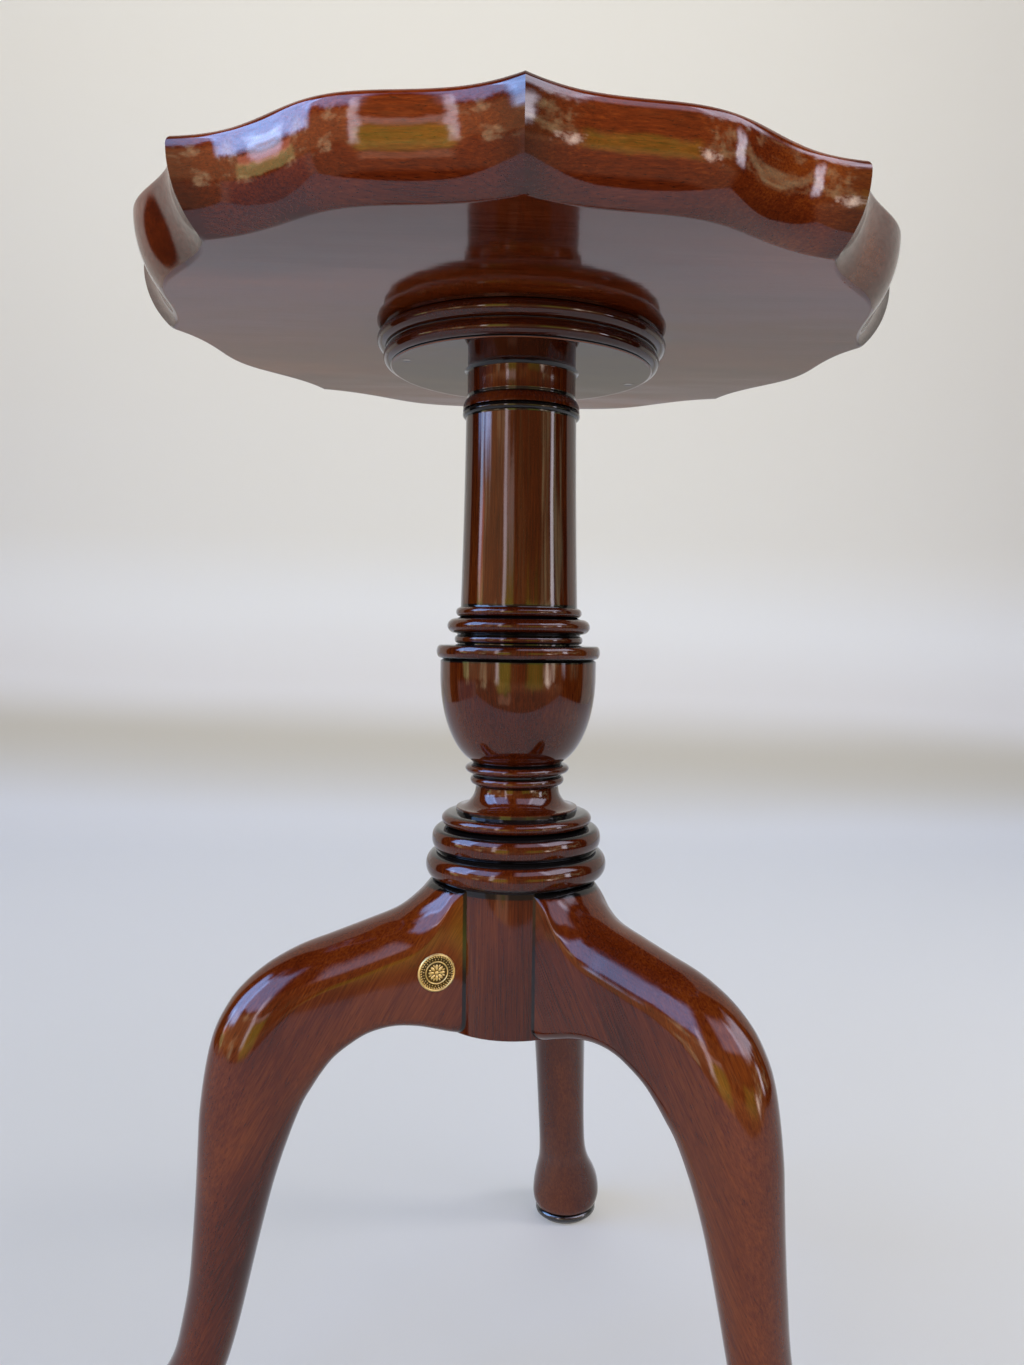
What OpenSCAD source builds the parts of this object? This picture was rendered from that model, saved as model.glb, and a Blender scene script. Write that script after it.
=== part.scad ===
// Tripod wine table: scalloped tray top on a turned pillar with three cabriole legs.
// Origin: on the floor under the pillar's axis. +Z is up, -Y is the front, one cusp of the top faces front.

/* [Top] */
// Height of the top's lip above the floor
table_h = 643; // [560:1:720]
// Radius of the lip at a cusp of the scalloped outline
top_cusp_r = 207; // [196:1:225]
// Depth of the top from its lip to its flat underside
top_depth = 38; // [32:1:44]
// Depth of the dished field below the lip
dish_depth = 20; // [12:1:22]
// Number of lobes round the top
lobes = 8; // [6:1:10]

/* [Block] */
// Radius of the turned block under the top
block_r = 79.7; // [79:0.1:90]
// Thickness of the turned block
block_t = 19; // [17:0.5:24]

/* [Pillar] */
// Radius of the plain drum that the legs are housed in
drum_r = 43.5; // [43:0.5:47]
// Height of the drum's underside above the floor
drum_z = 223; // [223:1:223]
// Radius of the round tenon that holds the block
tenon_r = 19; // [16:0.5:22]

/* [Legs] */
// Turn of the tripod against the top's cusps, in degrees
leg_turn = 12.5; // [0:0.5:30]
// Distance from the pillar's axis to the centre of each foot
foot_rho = 188; // [188:1:188]

/* [Feet] */
// Radius of the black shoe under each foot
shoe_r = 22.6; // [20:0.1:23.5]
// Height of the black shoe
shoe_h = 7; // [5:0.5:7]
// Thickness of the felt glide
glide_t = 1.5; // [1:0.5:3]

/* [Badge] */
// Diameter of the brass badge on the left leg
badge_d = 20.5; // [16:0.5:22]

/* [Hidden] */

MAHOGANY = "#7a2e16";
MAHOGANY_DARK = "#5c2011";
LACQUER_BLACK = "#15100f";
BRASS = "#c9a24a";
STEEL = "#8d9095";
IRON = "#3a3a3c";
FELT = "#4b4640";

ROUND = 96;         // facets of a turned circle
SMALL = 32;         // facets of a small round hole or screw
FIT = 0.1;          // gap between two glued or screwed wooden faces
BEAD_STEPS = 8;     // steps along one turned bead

LEFT_AZ = -60 - leg_turn;
RIGHT_AZ = 60 - leg_turn;
REAR_AZ = 180 - leg_turn;

under_z = table_h - top_depth;
block_z = under_z - block_t;
field_z = table_h - dish_depth;
field_r = 170;
foot_z = shoe_h + glide_t;

// ---- turned outlines: each function gives [radius, height] points, going up ----

// Half-round bead standing out from r0 to r1
function bead(r0, r1, z0, z1) =
    [for (i = [0:BEAD_STEPS]) let (a = -90 + 180 * i / BEAD_STEPS)
        [r0 + (r1 - r0) * cos(a), (z0 + z1) / 2 + (z1 - z0) / 2 * sin(a)]];

// Elliptical quarter from a narrow foot at z0 out to radius r1 at z1
function cup(r_axis, r1, z0, z1, a0) =
    [for (i = [0:12]) let (a = a0 * (1 - i / 12))
        [r_axis + (r1 - r_axis) * cos(a), z1 - (z1 - z0) * sin(a) / sin(a0)]];

// Quarter-round from radius r1 at z0 in to radius r0 at z1
function ovolo(r0, r1, z0, z1) =
    [for (i = [0:6]) let (a = 90 * i / 6)
        [r0 + (r1 - r0) * cos(a), z0 + (z1 - z0) * sin(a)]];

// Hollow flare from radius r0 at z0 in to radius r1 at z1
function flare(r0, r1, z0, z1) =
    [for (i = [0:8]) let (a = 90 * i / 8)
        [r1 + (r0 - r1) * (1 - sin(a)), z1 - (z1 - z0) * cos(a)]];

// ---- swept solids: rings of points, all of one length, that are closed with flat ends ----

function ring_quads(count, n) = [for (j = [0:count - 2], i = [0:n - 1])
    [j * n + i, j * n + (i + 1) % n, (j + 1) * n + (i + 1) % n, (j + 1) * n + i]];

module sweep_rings(rings) {
    n = len(rings[0]);
    last = (len(rings) - 1) * n;
    bottom = [for (i = [0:n - 1]) n - 1 - i];
    top = [for (i = [0:n - 1]) last + i];
    polyhedron(points = [for (r = rings, p = r) p],
               faces = concat([bottom], ring_quads(len(rings), n), [top]));
}

// ---- top panel ----

SAMPLES = 16;                     // points along one lobe
DIP_SHARE = 10 / 22.5;            // where the dip lies, from cusp (0) to mid-lobe (1)
function smooth(t) = (1 - cos(180 * t)) / 2;

// Radius of a scalloped outline: cusp, then a hollow dip, then a low swelling at mid-lobe
function lobe_r(t, cusp, dip, mid) =
    t < DIP_SHARE ? dip + (cusp - dip) * pow(1 - t / DIP_SHARE, 2)
                  : dip + (mid - dip) * smooth((t - DIP_SHARE) / (1 - DIP_SHARE));
function lobe_t(i) = abs((i % SAMPLES) / SAMPLES * 2 - 1);   // 1 at a cusp, 0 at mid-lobe
function lip_r(i) = lobe_r(1 - lobe_t(i), top_cusp_r, top_cusp_r - 11.5, top_cusp_r - 7);
function sole_r(i) = lobe_r(1 - lobe_t(i), top_cusp_r - 16, top_cusp_r - 24, top_cusp_r - 20);
function toe_r(i) = field_r + 4 + (lip_r(i) - top_cusp_r + 11.5) * 0.7;

function ring(r_list, z) =
    [for (i = [0:lobes * SAMPLES - 1]) let (a = 360 * i / (lobes * SAMPLES) - 90)
        [r_list[i] * cos(a), r_list[i] * sin(a), z]];

EDGE_A0 = 50;       // the side starts at this slope above the flat underside
LIP_ROUND = 4;      // rounding of the lip
FIELD_STEP = 1;     // small step down to the turned field
function side_ring(k) =
    let (a = EDGE_A0 * (1 - k), f = (cos(a) - cos(EDGE_A0)) / (1 - cos(EDGE_A0)),
         z = table_h - LIP_ROUND - (top_depth - LIP_ROUND) * sin(a) / sin(EDGE_A0))
    ring([for (i = [0:lobes * SAMPLES - 1]) sole_r(i) + (lip_r(i) - sole_r(i)) * f], z);
function lip_ring(a) =
    ring([for (i = [0:lobes * SAMPLES - 1]) lip_r(i) - LIP_ROUND * (1 - cos(a))],
         table_h - LIP_ROUND * (1 - sin(a)));
function cove_ring(a) =
    ring([for (i = [0:lobes * SAMPLES - 1]) lip_r(i) - 7 - (lip_r(i) - 7 - toe_r(i)) * (1 - cos(a))],
         field_z + FIELD_STEP + (dish_depth - 2) * (1 - sin(a)));
function round_ring(r, z) = ring([for (i = [0:lobes * SAMPLES - 1]) r], z);

module top_panel() {
    rings = concat([for (j = [0:6]) side_ring(j / 6)],
                   [for (a = [30, 60, 90]) lip_ring(a)],
                   [for (a = [0:18:90]) cove_ring(a)],
                   [round_ring(field_r + FIELD_STEP, field_z + FIELD_STEP), round_ring(field_r, field_z)]);
    color(MAHOGANY)
    difference() {
        sweep_rings(rings);
        at_block_screws()
        translate([0, 0, -1])
        cylinder(r = SCREW_R + FIT, h = screw_reach + 1, $fn = SMALL);
    }
}

// ---- turned block and its fixings ----

SCREW_PCR = 65;         // circle of the block screws
SCREW_AZ = 108.5;       // first block screw, from the front towards +X
SCREW_R = 2.1;
HEAD_R = 4.2;
PELLET_R = 5;
PELLET_T = 6;
screw_reach = 12;       // how far a block screw goes into the panel

module at_block_screws() {
    for (k = [0:3])
    rotate([0, 0, SCREW_AZ - 90 + 90 * k])
    translate([SCREW_PCR, 0, under_z])
    children();
}

module top_block() {
    color(MAHOGANY)
    difference() {
        rotate_extrude($fn = ROUND)
        polygon(concat([[0, block_z], [block_r - 7.4, block_z], [block_r - 7, block_z + 0.7],
                        [block_r - 7.5, block_z + 1.1]],
                       bead(block_r - 7, block_r - 4.5, block_z + 1.5, block_z + 7.6),
                       [[block_r - 6, block_z + 8]],
                       bead(block_r - 4.5, block_r, block_z + 8.4, block_z + 17.4),
                       [[block_r - 3, block_z + 18], [block_r - 3, under_z], [0, under_z]]));
        translate([0, 0, block_z - 1])
        cylinder(r = tenon_r + FIT, h = block_t + 2, $fn = ROUND);
        at_block_screws() {
            translate([0, 0, -block_t - 1])
            cylinder(r = PELLET_R, h = PELLET_T + 1, $fn = SMALL);
            translate([0, 0, -block_t])
            cylinder(r = SCREW_R + 0.2, h = block_t + 1, $fn = SMALL);
            translate([0, 0, -block_t + PELLET_T - 0.01])
            cylinder(r1 = HEAD_R + 0.2, r2 = SCREW_R + 0.2, h = HEAD_R - SCREW_R, $fn = SMALL);
        }
    }
}

// Countersunk wood screw: head at z = 0 facing down, shank up to z = length
module wood_screw(length, r = SCREW_R, head = HEAD_R) {
    difference() {
        rotate_extrude($fn = SMALL)
        polygon([[0, 0], [head, 0], [head, 0.4], [r, 0.4 + head - r], [r, length - 2 * r],
                 [0.3, length], [0, length]]);
        for (a = [0, 90])
        rotate([0, 0, a])
        translate([-head * 0.55, -0.5, -1])
        cube([head * 1.1, 1, 2]);
    }
}

module block_screws() {
    color(STEEL)
    at_block_screws()
    translate([0, 0, -block_t + PELLET_T])
    wood_screw(block_t - PELLET_T + screw_reach - 0.5);
}

module screw_pellets() {
    color(MAHOGANY_DARK)
    at_block_screws()
    translate([0, 0, -block_t])
    cylinder(r = PELLET_R - 0.05, h = PELLET_T - 0.1, $fn = SMALL);
}

// ---- pillar ----

SOCKET_TOP = 290;
DOVETAIL = [[15, 10], [-2, 6.5]];     // [depth below the drum's surface, half width] of the tongue
PLATE_T = 2.5;
TENON_TOP_GAP = 0.5;
KERF = [36, 3, 14];                   // saw cut in the tenon's end: length, width, depth

module dovetail(gap, z0, z1) {
    inner = drum_r - DOVETAIL[0][0] - gap;
    outer = drum_r - DOVETAIL[1][0];
    translate([0, 0, z0])
    linear_extrude(z1 - z0)
    polygon([[inner, -DOVETAIL[0][1] - gap], [outer, -DOVETAIL[1][1] - gap],
             [outer, DOVETAIL[1][1] + gap], [inner, DOVETAIL[0][1] + gap]]);
}

module at_az(az) {
    rotate([0, 0, az - 90])
    children();
}

function pillar_outline() = concat(
    [[0, drum_z], [drum_r - 1, drum_z], [drum_r, drum_z + 1], [drum_r, 302.5]],
    bead(45, 51.1, 303.5, 318.5),
    bead(44, 47.8, 319.5, 331.8),
    bead(38, 42.4, 332.8, 340.2),
    [[34.4, 340.8], [34.4, 342.8]],
    flare(34, 23.4, 343.2, 355),
    bead(24.5, 26.5, 356, 360.8),
    bead(25, 29.4, 362.2, 367.6),
    [[25.6, 368.5]],
    cup(19.4, 43.9, 368.8, 418, 76),
    [[43.9, 425.8], [42.5, 426.4]],
    bead(44, 46.1, 427, 434.2),
    [[34.5, 434.8]],
    bead(34.5, 36.1, 435.2, 439.6),
    bead(35, 40.2, 440.6, 449.2),
    bead(33, 35.4, 450, 455.2),
    [[32.8, 455.8], [31.6, 504], [30.8, 559.6]],
    bead(30.9, 32.7, 560.2, 564.2),
    ovolo(29.9, 32.5, 564.4, 570.2),
    [[29.7, 570.8], [30.1, 571.6], [30.1, block_z], [tenon_r, block_z],
     [tenon_r, under_z - TENON_TOP_GAP], [0, under_z - TENON_TOP_GAP]]);

module pillar() {
    color(MAHOGANY)
    difference() {
        rotate_extrude($fn = ROUND)
        polygon(pillar_outline());
        for (az = [LEFT_AZ, RIGHT_AZ, REAR_AZ])
        at_az(az)
        dovetail(FIT, drum_z - 1, SOCKET_TOP);
        brace_shape(FIT, drum_z - 1);
        translate([0, 0, drum_z])
        cylinder(r = SCREW_R + FIT, h = 34, $fn = SMALL);
        translate([-KERF[0] / 2 - 2, -KERF[1] / 2, under_z - TENON_TOP_GAP - KERF[2]])
        cube([KERF[0] + 4, KERF[1], KERF[2] + 1]);
    }
}

module tenon_wedge() {
    color(MAHOGANY_DARK)
    translate([0, 0, under_z - TENON_TOP_GAP - KERF[2] + 1])
    rotate([90, 0, 90])
    linear_extrude(KERF[0], center = true)
    polygon([[-0.5, 0], [0.5, 0], [KERF[1] / 2 - 0.05, KERF[2] - 1.2],
             [0.05 - KERF[1] / 2, KERF[2] - 1.2]]);
}

// ---- cabriole legs: local +X points outwards from the pillar's axis ----

// Stations down the leg: [back x, back z, front x, front z, width, height of the crown, roundness].
// The back is the long outer curve over the knee, the front is the inner curve under it.
// Roundness goes from 0, a crowned top on flat sides, to 1, an ellipse.
LEG = [
    [34, 311, 34, 222.5, 50.5, 8, 0], [44, 307, 42, 224, 50, 14, 0], [54, 298, 50, 226.3, 49.5, 19, 0],
    [66, 290, 61, 229.2, 48.5, 21, 0], [84, 284, 74, 230.4, 47.5, 21, 0],
    [102, 278.5, 86.5, 228, 46.5, 21, 0.02], [120, 273, 96.5, 222.6, 45.5, 21, 0.05],
    [137, 264.5, 104.5, 216.2, 44.5, 21, 0.1], [150, 254, 110.4, 208.4, 43.5, 21, 0.18],
    [158, 243.5, 114.6, 201.2, 42.5, 21, 0.28], [164, 231, 118.7, 193.5, 41, 21, 0.4],
    [168, 214, 122.4, 184.2, 39.5, 21, 0.52], [171, 191, 126.3, 173, 38, 20, 0.64],
    [172, 172, 130, 161.5, 36.8, 19, 0.75], [173, 150, 134.5, 146, 35.6, 18, 0.85],
    [174.5, 125, 140.5, 121.5, 34.5, 17, 0.93], [176.5, 100, 146.2, 96.5, 33.6, 15, 1],
    [180, 79, 151.2, 75.5, 33.2, 14, 1], [183.8, 63, 155.8, 59.5, 33.8, 14, 1],
    [190, 51, 160.5, 47, 37, 15, 1], [202, 38.5, 163, 34.5, 43.5, 19, 1],
    [209.8, 28, 164, 25, 47.8, 22, 1], [212.6, 18, 164, 16.5, 49.4, 24, 1],
    [211.8, 12, 164.4, 11.5, 47.8, 23, 1],
    [foot_rho + shoe_r, foot_z, foot_rho - shoe_r, foot_z, 2 * shoe_r, 22, 1]];
LEG_STEPS = 2;          // rings for each pair of stations
ARC_STEP = 18;          // degrees between points of a section's arcs
CORNER_R = 7;           // rounding of the lower corners near the pillar

function leg_row(i) = LEG[min(max(i, 0), len(LEG) - 1)];
function spline(p0, p1, p2, p3, t) =
    0.5 * (2 * p1 + (p2 - p0) * t + (2 * p0 - 5 * p1 + 4 * p2 - p3) * t * t
           + (3 * p1 - p0 - 3 * p2 + p3) * t * t * t);
function leg_ring(s) =
    let (half = norm([s[0] - s[2], s[1] - s[3]]) / 2, full = half - 0.5, b = s[4] / 2, q = s[6],
         crown = min(s[5] + (full - s[5]) * q, full), ry = min(CORNER_R + (full - CORNER_R) * q, full),
         rx = CORNER_R + (b - CORNER_R) * q,
         section = concat([for (a = [-90:ARC_STEP:90]) [half - crown + crown * cos(a), b * sin(a)]],
                          [for (a = [90:ARC_STEP:270]) [ry + ry * cos(a) - half,
                                                        sign(sin(a)) * (b - rx) + rx * sin(a)]]))
    [for (p = section) let (along = p[0] / half / 2)
        [(s[0] + s[2]) / 2 + (s[0] - s[2]) * along, p[1], (s[1] + s[3]) / 2 + (s[1] - s[3]) * along]];

module leg_sweep() {
    rings = [for (j = [0:len(LEG) - 2], k = [0:LEG_STEPS - 1])
        leg_ring(spline(leg_row(j - 1), leg_row(j), leg_row(j + 1), leg_row(j + 2), k / LEG_STEPS))];
    sweep_rings(concat(rings, [leg_ring(leg_row(len(LEG) - 1))]));
}

module leg() {
    difference() {
        leg_sweep();
        cylinder(r = drum_r, h = table_h, $fn = ROUND);
        translate([0, 0, 303.2])
        cylinder(r = 60, h = 20, $fn = ROUND);
        brace_arm(FIT, drum_z - 6);
        translate([BRACE_SCREW_RHO, 0, drum_z])
        cylinder(r = SCREW_R + FIT, h = 26, $fn = SMALL);
        translate([foot_rho, 0, foot_z - 1])
        cylinder(r = SCREW_R + FIT, h = SHOE_SCREW_L - shoe_h + 2, $fn = SMALL);
    }
    dovetail(0, drum_z + PLATE_T + FIT, SOCKET_TOP - FIT);
}

module leg_left() {
    color(MAHOGANY)
    at_az(LEFT_AZ)
    difference() {
        leg();
        at_badge() {
            translate([0, 0, -badge_sink])
            cylinder(r = badge_d / 2 + FIT, h = 8, $fn = ROUND);
            translate([0, 0, -badge_sink - PIN_L])
            cylinder(r = PIN_R + 0.05, h = PIN_L + 1, $fn = SMALL);
        }
    }
}

module leg_right() {
    color(MAHOGANY)
    at_az(RIGHT_AZ)
    leg();
}

module leg_rear() {
    color(MAHOGANY)
    at_az(REAR_AZ)
    leg();
}

// ---- shoes, glides and their screws ----

SHOE_SCREW_L = 26;
GLIDE_R = 19;

module shoe(az) {
    color(LACQUER_BLACK)
    at_az(az)
    translate([foot_rho, 0, glide_t])
    difference() {
        rotate_extrude($fn = ROUND)
        polygon(concat([[0, 0], [shoe_r - 2.5, 0]], bead(shoe_r - 2.5, shoe_r, 0, shoe_h - 1),
                       [[shoe_r - 1.2, shoe_h], [0, shoe_h]]));
        translate([0, 0, -1])
        cylinder(r = SCREW_R + 0.2, h = shoe_h + 2, $fn = SMALL);
        translate([0, 0, -0.01])
        cylinder(r1 = HEAD_R + 0.4, r2 = SCREW_R + 0.2, h = HEAD_R - SCREW_R + 0.4, $fn = SMALL);
    }
}

module glide(az) {
    color(FELT)
    at_az(az)
    translate([foot_rho, 0, 0])
    cylinder(r = GLIDE_R, h = glide_t, $fn = ROUND);
}

module shoe_left() { shoe(LEFT_AZ); }
module shoe_right() { shoe(RIGHT_AZ); }
module shoe_rear() { shoe(REAR_AZ); }
module glide_left() { glide(LEFT_AZ); }
module glide_right() { glide(RIGHT_AZ); }
module glide_rear() { glide(REAR_AZ); }

module shoe_screws() {
    color(STEEL)
    for (az = [LEFT_AZ, RIGHT_AZ, REAR_AZ])
    at_az(az)
    translate([foot_rho, 0, glide_t + 0.1])
    wood_screw(SHOE_SCREW_L);
}

// ---- three-armed brace under the drum ----

BRACE_HUB_R = 22;
BRACE_HALF_W = 9;
BRACE_REACH = 78;
BRACE_SCREW_RHO = 68;
ARM_START = 12;         // the arms begin inside the hub
ARM_RISE = 5;           // the arms step up to the undersides of the legs

// Side profile of one arm, let into the drum and lying under the leg; floor is its lowest height
module brace_arm(gap, floor) {
    rotate([90, 0, 0])
    linear_extrude(2 * (BRACE_HALF_W + gap), center = true)
    polygon([[ARM_START, floor], [44, floor], [58, min(floor + ARM_RISE, drum_z + ARM_RISE)],
             [BRACE_REACH + gap, min(floor + ARM_RISE, drum_z + ARM_RISE)],
             [BRACE_REACH + gap, drum_z + PLATE_T + ARM_RISE + gap],
             [58, drum_z + PLATE_T + ARM_RISE + gap], [44, drum_z + PLATE_T + gap],
             [ARM_START, drum_z + PLATE_T + gap]]);
}

module brace_shape(gap, floor) {
    for (az = [LEFT_AZ, RIGHT_AZ, REAR_AZ])
    at_az(az)
    brace_arm(gap, floor);
    translate([0, 0, floor])
    cylinder(r = BRACE_HUB_R + gap, h = drum_z + PLATE_T + gap - floor, $fn = ROUND);
}

module brace_plate() {
    color(IRON)
    difference() {
        brace_shape(0, drum_z);
        translate([0, 0, drum_z - 1])
        cylinder(r = SCREW_R + 0.2, h = 10, $fn = SMALL);
        for (az = [LEFT_AZ, RIGHT_AZ, REAR_AZ])
        at_az(az)
        translate([BRACE_SCREW_RHO, 0, drum_z - 1])
        cylinder(r = SCREW_R + 0.2, h = 12, $fn = SMALL);
        translate([0, 0, drum_z - 0.01])
        cylinder(r1 = HEAD_R + 0.3, r2 = SCREW_R + 0.2, h = 2.3, $fn = SMALL);
        for (az = [LEFT_AZ, RIGHT_AZ, REAR_AZ])
        at_az(az)
        translate([BRACE_SCREW_RHO, 0, drum_z + ARM_RISE - 0.01])
        cylinder(r1 = HEAD_R + 0.3, r2 = SCREW_R + 0.2, h = 2.3, $fn = SMALL);
    }
}

module brace_center_screw() {
    color(STEEL)
    translate([0, 0, drum_z])
    wood_screw(32);
}

module brace_arm_screws() {
    color(STEEL)
    for (az = [LEFT_AZ, RIGHT_AZ, REAR_AZ])
    at_az(az)
    translate([BRACE_SCREW_RHO, 0, drum_z + ARM_RISE])
    wood_screw(22);
}

// ---- brass badge on the front face of the left leg ----

BADGE_AT = [51.5, 24.6, 259.5];   // outwards, sideways and up, in the left leg's own plane
badge_sink = 0.4;
badge_t = 1.8;
PIN_R = 0.8;
PIN_L = 6;

// Local +Z points straight out of the leg's side
module at_badge() {
    translate(BADGE_AT)
    rotate([-90, 0, 0])
    children();
}

module badge() {
    r = badge_d / 2;
    color(BRASS)
    at_az(LEFT_AZ)
    at_badge()
    translate([0, 0, -badge_sink])
    rotate_extrude($fn = ROUND)
    polygon([[0, 0], [r, 0], [r, badge_t - 0.5], [r - 0.5, badge_t], [r - 1.3, badge_t],
             [r - 1.7, badge_t - 0.6], [r - 4, badge_t - 0.6], [r - 4.3, badge_t - 0.1],
             [r - 4.8, badge_t - 0.1], [r - 5.1, badge_t - 0.6], [2.2, badge_t - 0.6],
             [1.4, badge_t - 0.1], [0, badge_t]]);
}

module badge_pin() {
    color(BRASS)
    at_az(LEFT_AZ)
    at_badge()
    translate([0, 0, -badge_sink - PIN_L])
    cylinder(r = PIN_R, h = PIN_L, $fn = SMALL);
}

top_panel();
top_block();
block_screws();
screw_pellets();
pillar();
tenon_wedge();
leg_left();
leg_right();
leg_rear();
shoe_left();
shoe_right();
shoe_rear();
glide_left();
glide_right();
glide_rear();
shoe_screws();
brace_plate();
brace_center_screw();
brace_arm_screws();
badge();
badge_pin();
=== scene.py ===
"""A tripod wine table in high-gloss lacquered mahogany, standing on a pale paper sweep."""
import math

import bpy
from mathutils import Matrix, Vector


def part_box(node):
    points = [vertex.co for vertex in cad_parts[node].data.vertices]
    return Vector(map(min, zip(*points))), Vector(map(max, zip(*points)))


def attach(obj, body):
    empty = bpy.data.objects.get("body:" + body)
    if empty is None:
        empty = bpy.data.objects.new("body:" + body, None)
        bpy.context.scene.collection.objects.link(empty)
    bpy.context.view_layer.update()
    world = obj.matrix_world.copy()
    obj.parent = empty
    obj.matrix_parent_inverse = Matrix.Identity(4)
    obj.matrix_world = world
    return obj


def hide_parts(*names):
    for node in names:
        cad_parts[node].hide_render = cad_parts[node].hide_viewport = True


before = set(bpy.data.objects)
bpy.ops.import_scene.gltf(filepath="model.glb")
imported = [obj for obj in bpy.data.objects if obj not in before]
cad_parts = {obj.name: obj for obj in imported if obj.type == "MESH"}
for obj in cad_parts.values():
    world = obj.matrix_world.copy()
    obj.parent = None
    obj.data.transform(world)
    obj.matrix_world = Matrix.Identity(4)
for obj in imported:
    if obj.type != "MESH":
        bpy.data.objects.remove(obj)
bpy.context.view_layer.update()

# ---- driving sizes: millimetres, read from the frame where it knows them ----

MM = 0.001


def node_box(node):
    """A CAD node's lowest and highest corners, in millimetres."""
    low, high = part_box(node)
    return [v / MM for v in low], [v / MM for v in high]


TOP_LOW, TOP_HIGH = node_box("top_panel")
BLOCK_LOW, BLOCK_HIGH = node_box("top_block")
PILLAR_LOW, PILLAR_HIGH = node_box("pillar")
SHOE_LOW, SHOE_HIGH = node_box("shoe_rear")
GLIDE_LOW, GLIDE_HIGH = node_box("glide_rear")
BADGE_LOW, BADGE_HIGH = node_box("badge")

LIP_Z = TOP_HIGH[2]
UNDER_Z = TOP_LOW[2]
CUSP_R = TOP_HIGH[0]
BLOCK_Z = BLOCK_LOW[2]
BLOCK_R = BLOCK_HIGH[0]
DRUM_Z = PILLAR_LOW[2]
DRUM_R = 43.5
SHOE_R = (SHOE_HIGH[0] - SHOE_LOW[0]) / 2
GLIDE_T = GLIDE_HIGH[2] - GLIDE_LOW[2]
FOOT_Z = SHOE_HIGH[2]
REAR_X = (SHOE_HIGH[0] + SHOE_LOW[0]) / 2
REAR_Y = (SHOE_HIGH[1] + SHOE_LOW[1]) / 2
FOOT_RHO = math.hypot(REAR_X, REAR_Y)
LEG_TURN = math.degrees(math.atan2(REAR_X, REAR_Y))
LEG_AZ = {"left": -60 - LEG_TURN, "right": 60 - LEG_TURN, "rear": 180 - LEG_TURN}
BADGE_R = (BADGE_HIGH[2] - BADGE_LOW[2]) / 2

# the scalloped top, the same sizes as in the CAD part
LOBES = 8
DIP_DEPTH = 11.5
MID_DEPTH = 7.0
SOLE_CUSP_IN = 16.0
SOLE_DIP_IN = 24.0
SOLE_MID_IN = 20.0
SOLE_ROUND = 0.8
DIP_SHARE = 10 / 22.5
CUSP_SHARPNESS = 2.3
SIDE_START = math.radians(50)
LIP_ROUND = 4.0
LIP_WIDTH = 7.0
DISH_DEPTH = 20.0
FIELD_R = 170.0
FIELD_Z = LIP_Z - DISH_DEPTH
TOE_MARGIN = 4.0
TOE_SCALLOP = 0.7

# painted shade on the top's side, a dark tone near the cusps and low down: how strong it is, how wide at a
# cusp, and how high and how strong low down
SIDE_SHADE = 0.22
CUSP_SHADE_SHARE = 0.16
LOW_SHADE_TOP = 16.0
LOW_SHADE_FADE = 14.0
LOW_SHADE_SHARE = 0.45


# ---- small helpers ----


def lerp(a, b, t):
    return a + (b - a) * t


def smooth(t):
    t = min(max(t, 0.0), 1.0)
    return t * t * (3 - 2 * t)


def finish_mesh(name, verts, faces, material, crease=35.0, paint=None):
    """A smooth-shaded mesh object from millimetre points, with one lacquer value for each point.

    Lacquer 1 is black: black paint, and painted shade by the beads and in the corner under the block.
    Small values are a dark tone: painted shade on the top's side, and the soft edges of the black. 0 is clear
    and -1 is a worn edge.
    """
    mesh = bpy.data.meshes.new(name)
    mesh.from_pydata([tuple(c * MM for c in v) for v in verts], [], faces)
    mesh.update()
    mesh.shade_smooth()
    mesh.set_sharp_from_angle(angle=math.radians(crease))
    layer = mesh.attributes.new("lacquer", "FLOAT", "POINT")
    for i, value in enumerate(paint or [0.0] * len(verts)):
        layer.data[i].value = value
    mesh.materials.append(material)
    piece = bpy.data.objects.new(name, mesh)
    bpy.context.scene.collection.objects.link(piece)
    return piece


def declare(piece, slot, *nodes):
    """Attaches a finished piece to the root body and hides the CAD nodes that it stands for.
    slot is not used.
    """
    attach(piece, "root")
    if nodes:
        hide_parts(*nodes)


def band_faces(rings, sides, start=0):
    """Quads between neighbouring rings of points."""
    return [
        (start + j * sides + i, start + j * sides + (i + 1) % sides,
         start + (j + 1) * sides + (i + 1) % sides, start + (j + 1) * sides + i)
        for j in range(rings - 1)
        for i in range(sides)
    ]


def end_faces(rings, sides):
    """One face across the first ring and one across the last."""
    last = (rings - 1) * sides
    return [tuple(reversed(range(sides))), tuple(range(last, last + sides))]


def lathe(name, outline, material, sides=192, crease=35.0):
    """Turns an outline of (radius, height, lacquer) points, which starts and ends on the axis."""
    verts, paint = [], []
    (_, z0, black0), (r1, z1, black1) = outline[0], outline[-2]
    # a second ring just inside each flat end's edge keeps the shading of the edge crisp
    if outline[1][1] == z0:
        outline = [outline[0], (outline[1][0] - 1, z0, black0)] + outline[1:]
    if outline[-1][1] == z1:
        outline = outline[:-1] + [(r1 - 1, z1, black1), outline[-1]]
    for r, z, black in outline[1:-1]:
        for i in range(sides):
            a = 2 * math.pi * i / sides
            verts.append((r * math.cos(a), r * math.sin(a), z))
            paint.append(black)
    rings = len(outline) - 2
    faces = band_faces(rings, sides)
    for (_, z, black), ring, up in ((outline[0], 0, False), (outline[-1], rings - 1, True)):
        hub = len(verts)
        verts.append((0.0, 0.0, z))
        paint.append(black)
        for i in range(sides):
            a, b = ring * sides + i, ring * sides + (i + 1) % sides
            faces.append((a, b, hub) if up else (b, a, hub))
    return finish_mesh(name, verts, faces, material, crease, paint)


# ---- turned outlines, going up; each point is (radius, height, lacquer) ----

BEAD_STEPS = 26
PAINT_FADE = 0.18
CUP_STEPS = 48
FLARE_STEPS = 24
OVOLO_STEPS = 16
OVOLO_BLACK_FROM, OVOLO_BLACK_FADE = 1.36, 0.12
SHAFT_STEPS = 32


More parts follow.
